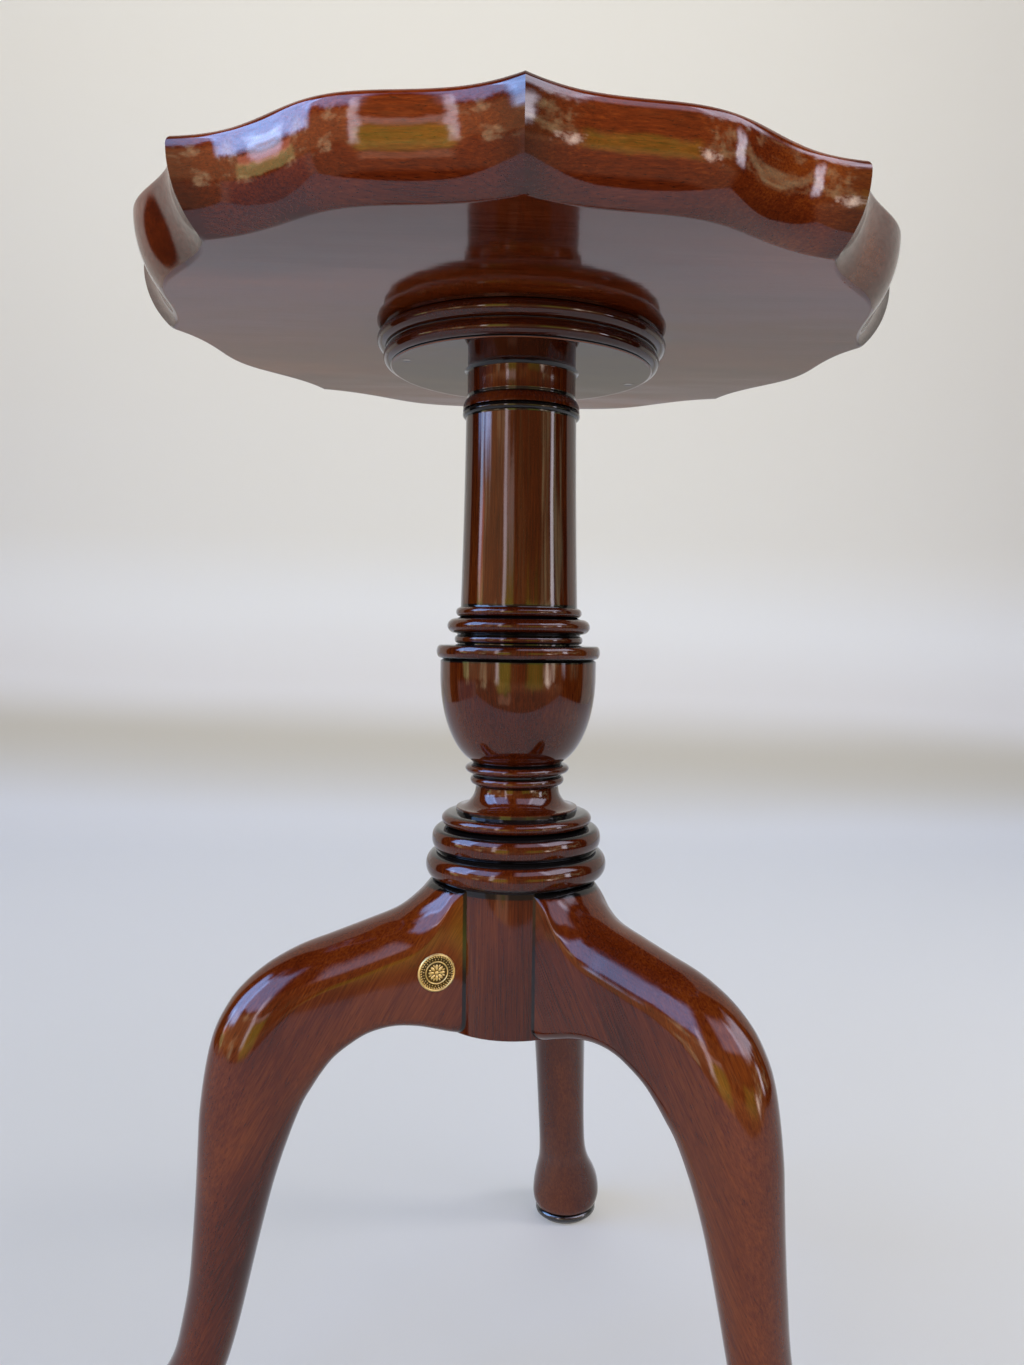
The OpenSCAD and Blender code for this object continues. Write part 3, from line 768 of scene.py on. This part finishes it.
# the shade values give lit and shaded copies of one mahogany: painted light on the top, painted shade on the
# block and pillar under it
MAHOGANY_TOP = mahogany(
    "mahogany_top", (1, 0, 0), (0.3, 0.1, 0.4), shade=1.15, gloss=0.06, satin_below=UNDER_Z
)
MAHOGANY_BLOCK = mahogany("mahogany_block", (1, 0.15, 0), (0.9, 0.2, 0.1), shade=0.42)
MAHOGANY_PILLAR = mahogany("mahogany_pillar", (0, 0, 1), (0.1, 0.5, 0.2), shade=0.52, gloss=0.07)
MAHOGANY_HIDDEN = mahogany("mahogany_hidden", (1, 0, 0), (0.5, 0.5, 0.5))
BLACK_LACQUER = black_lacquer("black_lacquer")
BRASS = brass("brass")
SCREW_STEEL = plain_metal(
    "screw_steel", (0.42, 0.41, 0.38), (0.60, 0.59, 0.56), rough=0.28, metal=1.0, grain=600
)
BRACE_IRON = plain_metal(
    "brace_iron", (0.010, 0.010, 0.011), (0.030, 0.029, 0.028), rough=0.42, metal=0.0, grain=350
)
FELT = felt("felt")


# ---- pieces ----

BADGE_T = 1.8
BADGE_FLOOR = BADGE_T - 0.7
RELIEF_SINK = 0.1
FOOT_DIRT = 0.35

# the badge's relief: [count, share of a step that the row is turned by, radius, angle, length, width, height]
RELIEF_ROWS = [
    (40, 0.0, BADGE_R - 1.75, math.radians(40), 0.62, 0.36, 0.5),
    (28, 0.5, BADGE_R - 3.05, 0.0, 0.5, 0.2, 0.4),
    (8, 0.0, 2.9, 0.0, 1.7, 0.85, 0.65),
    (8, 0.5, 3.9, 0.0, 0.9, 0.45, 0.45),
    (1, 0.0, 0.0, 0.0, 1.15, 1.15, 0.95),
]


def badge_outline():
    """Raised rim, floor, a thin ring and the floor again; the floor is dark with dirt."""
    r, floor = BADGE_R, BADGE_FLOOR
    outline = [(0, 0, 0), (r - 0.2, 0, 0), (r, 0.2, 0), (r, floor, 0)]
    for k in range(1, 10):
        a = math.pi * k / 10
        outline.append((r - 0.25 - 0.45 * (1 - math.cos(a)), floor + 0.6 * math.sin(a), 0))
    outline += [(r - 1.4, floor, 1), (r - 3.9, floor, 1)]
    for k in range(1, 8):
        a = math.pi * k / 8
        outline.append((r - 4.3 + 0.3 * math.cos(a), floor + 0.45 * math.sin(a), 0.1))
    return outline + [(r - 4.8, floor, 1), (0, floor, 1)]


def blob(rho, turn, angle, length, width, height):
    """Rings of points of a half-ellipsoid on the badge's floor, with its top last.

    It stands rho from the middle in the direction turn, and its length is at an angle to that direction.
    """
    across, up = 14, 5
    x, y = rho * math.cos(turn), rho * math.sin(turn)
    z = BADGE_FLOOR - RELIEF_SINK
    c, s = math.cos(angle + turn), math.sin(angle + turn)
    points = []
    for j in range(up):
        lift = math.pi / 2 * j / up
        for i in range(across):
            a = 2 * math.pi * i / across
            u, v = length * math.cos(a) * math.cos(lift), width * math.sin(a) * math.cos(lift)
            points.append((x + u * c - v * s, y + u * s + v * c, z + height * math.sin(lift)))
    points.append((x, y, z + height))
    return points, across, up


def badge_relief():
    """Points, faces and lacquer of the rope ring, the reeded band and the rosette."""
    verts, faces, paint = [], [], []
    for count, offset, rho, angle, length, width, height in RELIEF_ROWS:
        for k in range(count):
            points, across, up = blob(rho, 2 * math.pi * (k + offset) / count, angle, length, width, height)
            start = len(verts)
            top = start + (up - 1) * across
            verts += points
            paint += [FOOT_DIRT] * across + [0.0] * (len(points) - across)
            faces += band_faces(up, across, start)
            faces += [(top + i, top + (i + 1) % across, start + up * across) for i in range(across)]
            faces.append(tuple(reversed(range(start, start + across))))
    return verts, faces, paint


def make_badge():
    """Brass disc with a rope ring, a reeded band and a rosette. Its local +Z points out of the leg's side."""
    disc = lathe("badge_disc", badge_outline(), BRASS, sides=128, crease=50.0)
    verts, faces, paint = badge_relief()
    relief = finish_mesh("badge_relief", verts, faces, BRASS, crease=60.0, paint=paint)
    centre = (Vector(BADGE_LOW) + Vector(BADGE_HIGH)) / 2 * MM
    az = math.radians(LEG_AZ["left"])
    out = Vector((math.cos(az), math.sin(az), 0))
    if out.y > 0:
        out.negate()
    up = Vector((0, 0, 1))
    right = up.cross(out)
    place = Matrix((right, up, out)).transposed().to_4x4()
    place.translation = centre - out * BADGE_T / 2 * MM
    for piece in (disc, relief):
        piece.matrix_world = place
        declare(piece, "brass")
    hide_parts("badge")


def make_shoes():
    """Black turned shoes, each a bead with a small step up to the pad."""
    r = SHOE_R
    h = SHOE_HIGH[2] - SHOE_LOW[2]
    outline = [(0, 0, 0), (r - 2.6, 0, 0)]
    outline += bead(r - 2.5, r, 0, h - 1.4, 0, 0)
    outline += [(r - 1.7, h - 1.1, 0), (r - 1.5, h - 0.3, 0), (r - 1.9, h, 0), (0, h, 0)]
    for side, azimuth in LEG_AZ.items():
        shoe = lathe("shoe_" + side + "_turned", outline, BLACK_LACQUER, sides=128)
        az = math.radians(azimuth)
        shoe.location = (FOOT_RHO * math.sin(az) * MM, -FOOT_RHO * math.cos(az) * MM, GLIDE_T * MM)
        declare(shoe, "black_lacquer", "shoe_" + side)


PELLET_COUNT, PELLET_CIRCLE_R, PELLET_AZ = 4, 65.0, 108.5

# [radius, how far it hangs below the block, black], from the edge of a small nick in the middle outwards
PELLET_STEPS = [(0.9, -0.05, 1.0), (1.3, 0.03, 0.2), (3.6, 0.05, 0.0), (4.8, 0.03, 0.0), (5.0, -0.4, 0.0)]


def make_pellets():
    """Flush wooden pellets over the block screws, lacquered over; the nick is black on the first one only."""
    verts, faces, paint = [], [], []
    sides = 40
    _, nick_drop, nick_black = PELLET_STEPS[0]
    for k in range(PELLET_COUNT):
        az = math.radians(PELLET_AZ + 360 * k / PELLET_COUNT)
        cx, cy = PELLET_CIRCLE_R * math.sin(az), -PELLET_CIRCLE_R * math.cos(az)
        start = len(verts)
        for r, drop, black in PELLET_STEPS:
            for i in range(sides):
                a = 2 * math.pi * i / sides
                verts.append((cx + r * math.cos(a), cy - r * math.sin(a), BLOCK_Z - drop))
                paint.append(black if k == 0 else 0.0)
        faces += [tuple(reversed(f)) for f in band_faces(len(PELLET_STEPS), sides, start)[::-1]]
        verts.append((cx, cy, BLOCK_Z - nick_drop))
        paint.append(nick_black if k == 0 else 0.0)
        faces += [(start + i, start + (i + 1) % sides, len(verts) - 1) for i in range(sides)]
        rim = start + (len(PELLET_STEPS) - 1) * sides
        faces.append(tuple(rim + i for i in range(sides)))
    caps = finish_mesh("screw_pellet_caps", verts, faces, MAHOGANY_BLOCK, crease=50.0, paint=paint)
    declare(caps, "mahogany", "screw_pellets")


# the legs' grain in their own axes: down and outwards
LEG_GRAIN = Vector((0.50, 0, -0.87))

declare(top_piece("scalloped_top", MAHOGANY_TOP), "mahogany", "top_panel")
declare(lathe("turned_block", block_outline(), MAHOGANY_BLOCK), "mahogany", "top_block")
declare(lathe("turned_pillar", pillar_outline(), MAHOGANY_PILLAR, sides=224), "mahogany", "pillar")
for number, (side, azimuth) in enumerate(LEG_AZ.items()):
    grain = leg_turn(azimuth) @ LEG_GRAIN
    plank = (0.2 + 0.7 * number, 0.4, 0.3)
    # the legs' shade under 1 is painted shade as well
    wood = mahogany("mahogany_leg_" + side, grain, plank, shade=0.60, gloss=0.09, joint_and_shade=True)
    declare(leg_piece("cabriole_leg_" + side, azimuth, wood), "mahogany", "leg_" + side)
make_shoes()
make_pellets()
make_badge()

CAD_LOOKS = {
    "block_screws": SCREW_STEEL, "shoe_screws": SCREW_STEEL, "brace_center_screw": SCREW_STEEL,
    "brace_arm_screws": SCREW_STEEL, "brace_plate": BRACE_IRON, "tenon_wedge": MAHOGANY_HIDDEN,
    "glide_left": FELT, "glide_right": FELT, "glide_rear": FELT, "badge_pin": BRASS,
}
for node, look in CAD_LOOKS.items():
    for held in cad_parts[node].material_slots:
        held.material = look

# ---- stage: a paper sweep, a soft wash of light on it, and a porch and garden to be reflected ----

SWEEP_FRONT, SWEEP_WALL, SWEEP_BEND, SWEEP_TOP, SWEEP_HALF = -850.0, 2200.0, 700.0, 3200.0, 1650.0
FLOOR_STEPS, BEND_STEPS = 12, 32


def make_sweep():
    """Paper floor that curves up into a backdrop. Its lacquer value goes from 0 in front to 1 at the top."""
    bend_start = SWEEP_WALL - SWEEP_BEND
    profile = [(lerp(SWEEP_FRONT, bend_start, k / FLOOR_STEPS), 0.0) for k in range(FLOOR_STEPS)]
    for k in range(BEND_STEPS + 1):
        a = math.pi / 2 * k / BEND_STEPS
        profile.append((SWEEP_WALL - SWEEP_BEND * (1 - math.sin(a)), SWEEP_BEND * (1 - math.cos(a))))
    profile.append((SWEEP_WALL, SWEEP_TOP))
    verts = [(x, y, z) for y, z in profile for x in (-SWEEP_HALF, SWEEP_HALF)]
    faces = [(2 * j, 2 * j + 1, 2 * j + 3, 2 * j + 2) for j in range(len(profile) - 1)]
    along = [k / (len(profile) - 1) for k in range(len(profile)) for _ in range(2)]
    sweep = finish_mesh("paper_sweep", verts, faces, paper("paper"), paint=along)
    return sweep


def area_light(name, place, target, size, power, colour, only, blocked_by=None, mirrored=True):
    """A soft light on the collection only; blocked_by is the collection that casts its shadows."""
    data = bpy.data.lights.new(name, "AREA")
    data.shape = "RECTANGLE"
    data.size, data.size_y = size
    data.energy = power
    data.color = colour
    lamp = bpy.data.objects.new(name, data)
    lamp.location = place
    lamp.rotation_euler = (Vector(target) - Vector(place)).to_track_quat("-Z", "Y").to_euler()
    bpy.context.scene.collection.objects.link(lamp)
    lamp.light_linking.receiver_collection = only
    if blocked_by:
        lamp.light_linking.blocker_collection = blocked_by
    lamp.visible_glossy = mirrored


def group(name, things):
    """A collection, outside the scene's own tree, that names what a light reaches."""
    collection = bpy.data.collections.new(name)
    for thing in things:
        collection.objects.link(thing)
    return collection


def make_lights(sweep):
    """Three washes on the paper and three soft lights on the table that its lacquer doesn't mirror."""
    paper_only = group("paper_only", [sweep])
    area_light("paper_wash", (-0.1, -1.3, 3.0), (0.0, 1.2, 0.35), (2.8, 2.8), 44, (1.0, 0.94, 0.82),
               paper_only, paper_only)
    area_light("wall_wash", (-0.4, 0.1, 2.9), (-0.4, 2.2, 1.0), (4.4, 0.8), 29, (1.0, 0.97, 0.86),
               paper_only, paper_only)
    area_light("side_wash", (1.3, -0.1, 1.0), (0.0, 0.3, 0.0), (0.35, 0.35), 3.8, (1.0, 0.93, 0.82),
               paper_only)
    table = [thing for thing in bpy.data.objects if thing.type == "MESH" and thing != sweep]
    table_only = group("table_only", table)
    area_light("key", (-0.5, -1.5, 2.3), (0, 0, 0.4), (1.2, 1.2), 56, (1.0, 0.93, 0.84),
               table_only, mirrored=False)
    area_light("back_fill", (0.9, 1.5, 1.5), (0, 0, 0.4), (1.0, 1.0), 22, (1.0, 0.95, 0.9),
               table_only, mirrored=False)
    area_light("low_front", (-0.3, -1.6, 0.55), (0, 0, 0.5), (1.4, 0.5), 16, (1.0, 0.90, 0.72),
               table_only, mirrored=False)


make_lights(make_sweep())


# [what it is, its kind of edge, azimuths from the front towards +X, elevations, softness of both, radiance]
GARDEN = [
    ("sky far left", "ragged", (-95, -68), (14, 44), (0.10, 0.07), (2.4, 4.6, 9.4)),
    ("blue gap", "ragged", (-89, -84), (8, 15), (0.04, 0.08), (2.8, 3.5, 5.0)),
    ("sky left", "ragged", (-66, -32), (25, 50), (0.16, 0.09), (1.6, 2.4, 4.6)),
    ("sky right", "ragged", (44, 84), (28, 50), (0.16, 0.09), (4.2, 4.2, 5.2)),
    ("sky front", "plain", (4, 42), (31, 52), (0.16, 0.09), (1.8, 1.6, 2.2)),
    ("white wall", "ragged", (-32, -29), (-1, 24), (0.05, 0.12), (4.4, 3.8, 4.2)),
    ("bright gap", "ragged", (66, 70), (1, 15), (0.05, 0.10), (5.8, 5.6, 6.6)),
    ("low gap", "dappled", (36, 52), (-7, -1), (0.05, 0.04), (9.0, 7.5, 6.4)),
    ("lawn", "ragged", (-27, -15), (-10, 4), (0.12, 0.08), (1.05, 1.15, 0.13)),
    ("lawn edge", "ragged", (-26, -14), (8, 10), (0.06, 0.04), (1.7, 1.3, 1.2)),
    ("path", "ragged", (-27, -14), (-20, -15), (0.10, 0.05), (1.3, 0.7, 0.45)),
    ("right lawn", "ragged", (17, 32), (-8, 2), (0.16, 0.08), (0.5, 0.72, 0.06)),
    ("roof", "ragged", (-88, -79), (5, 8), (0.04, 0.03), (2.8, 0.9, 0.6)),
    ("hedge", "ragged", (-88, -78), (-2, 4), (0.05, 0.04), (1.3, 1.5, 0.6)),
    ("foliage", "dappled", (-80, -34), (-6, 20), (0.08, 0.06), (1.8, 1.6, 1.0)),
    ("bark", "ragged", (-76, -37), (-3, 15), (0.12, 0.10), (1.0, 0.54, 0.27)),
    ("right foliage", "dappled", (44, 95), (0, 24), (0.08, 0.06), (1.5, 1.4, 0.8)),
    ("far trees", "dappled", (-95, 66), (-5, 27), (0.12, 0.08), (0.42, 0.25, 0.09)),
    ("dusk", "plain", (-30, 62), (-8, 28), (0.20, 0.10), (0.42, 0.17, 0.06)),
    ("porch floor", "plain", (-66, 62), (-27, -9), (0.15, 0.09), (0.42, 0.26, 0.17)),
    ("left ground", "plain", (-98, -66), (-28, -6), (0.06, 0.04), (0.34, 0.26, 0.30)),
    ("left room", "plain", (-180, -121), (-30, 70), (0.05, 0.10), (0.58, 0.56, 0.52)),
    ("right room", "plain", (112, 180), (-30, 70), (0.08, 0.10), (0.58, 0.56, 0.52)),
]

# the share of this world's light that reaches matt surfaces; the rest of their light is the soft wash
SKY_SHARE = 0.25
AMBIENT = (0.02, 0.018, 0.015)
CAMERA_GREY = (0.66, 0.66, 0.65)

# how far the leaves and clumps push the patches' edges, and how uneven the patches are
LEAF_PUSH, CLUMP_PUSH = 0.22, 0.16
MOTTLE_GAIN, MOTTLE_BASE = 1.1, 0.45


def make_world():
    """What the lacquer reflects: sky, trees, a wall, a lawn and a porch. The camera sees plain grey."""
    world = bpy.data.worlds.new("porch")
    world.use_nodes = True
    m = Nodes(world.node_tree)
    where = m.add("TexCoord").outputs["Generated"]
    split = m.add("SeparateXYZ")
    m.link(where, split.inputs["Vector"])
    x, y, z = (split.outputs[i] for i in range(3))
    azimuth = m.math("ARCTAN2", x, m.math("MULTIPLY", y, -1.0))
    leaves = m.noise(where, 7.0, 5.0, 0.65)
    clumps = m.noise(m.stretch(where, (1, 1, 1.6)), 3.2, 3.0, 0.6)
    specks = m.noise(where, 26.0, 3.0, 0.6)
    ragged = m.math("ADD", z, m.math("MULTIPLY", m.math("SUBTRACT", leaves, 0.5), LEAF_PUSH))
    wavy = m.math("ADD", azimuth, m.math("MULTIPLY", m.math("SUBTRACT", clumps, 0.5), CLUMP_PUSH))
    mottle = m.math("ADD", m.math("MULTIPLY", specks, MOTTLE_GAIN), MOTTLE_BASE)
    foliage = m.math("ADD", m.math("MULTIPLY", leaves, 0.6), m.math("MULTIPLY", clumps, 0.4))
    dapple = m.ramp(foliage, [(0.50, 0.0), (0.62, 1.0)])
    total = AMBIENT
    for _, edge, azimuths, elevations, (soft_az, soft_z), colour in GARDEN:
        height, side = (z, azimuth) if edge == "plain" else (ragged, wavy)
        left, right = (math.radians(a) for a in azimuths)
        floor, roof = (math.sin(math.radians(e)) for e in elevations)
        mask = m.math("MULTIPLY", m.window(side, left, right, soft_az), m.window(height, floor, roof, soft_z))
        if edge == "dappled":
            mask = m.math("MULTIPLY", mask, dapple)
        total = m.plus(total, colour, m.math("MULTIPLY", mask, mottle))
    path = m.add("LightPath")
    background = world.node_tree.nodes["Background"]
    m.link(m.mix(path.outputs["Is Camera Ray"], total, CAMERA_GREY), background.inputs["Color"])
    mirrored = m.math("MAXIMUM", path.outputs["Is Camera Ray"], path.outputs["Is Glossy Ray"])
    strength = m.math("ADD", m.math("MULTIPLY", mirrored, 1 - SKY_SHARE), SKY_SHARE)
    m.link(strength, background.inputs["Strength"])
    bpy.context.scene.world = world


make_world()
bpy.context.scene.view_settings.view_transform = "Standard"

# ---- camera: 0.58 m in front of the pillar, 0.44 m above the floor, looking slightly down ----

CAMERA_DISTANCE = 0.5836
CAMERA_HEIGHT = 0.4427
PITCH, ROLL, YAW = (math.radians(a) for a in (-2.86, 0.81, 2.68))

# the focal length, and how far the lens's centre is right of the picture's, as shares of its height
FOCAL_SHARE = 0.754579
OFF_CENTRE = 0.039853
SENSOR_HEIGHT = 36


def make_camera():
    """The photo's camera. Its sensor is shifted because the photo is a crop."""
    data = bpy.data.cameras.new("camera")
    data.sensor_fit = "VERTICAL"
    data.sensor_height = SENSOR_HEIGHT
    data.lens = SENSOR_HEIGHT * FOCAL_SHARE
    data.shift_x = -OFF_CENTRE
    data.clip_start = 0.02
    camera = bpy.data.objects.new("camera", data)
    ahead = Vector((math.cos(PITCH) * math.sin(YAW), math.cos(PITCH) * math.cos(YAW), math.sin(PITCH)))
    right = Vector((math.cos(YAW), -math.sin(YAW), 0))
    up = right.cross(ahead)
    side = right * math.cos(ROLL) + up * math.sin(ROLL)
    rise = up * math.cos(ROLL) - right * math.sin(ROLL)
    place = Matrix((side, rise, -ahead)).transposed().to_4x4()
    place.translation = (0, -CAMERA_DISTANCE, CAMERA_HEIGHT)
    camera.matrix_world = place
    bpy.context.scene.collection.objects.link(camera)
    bpy.context.scene.camera = camera


make_camera()

bpy.context.view_layer.update()
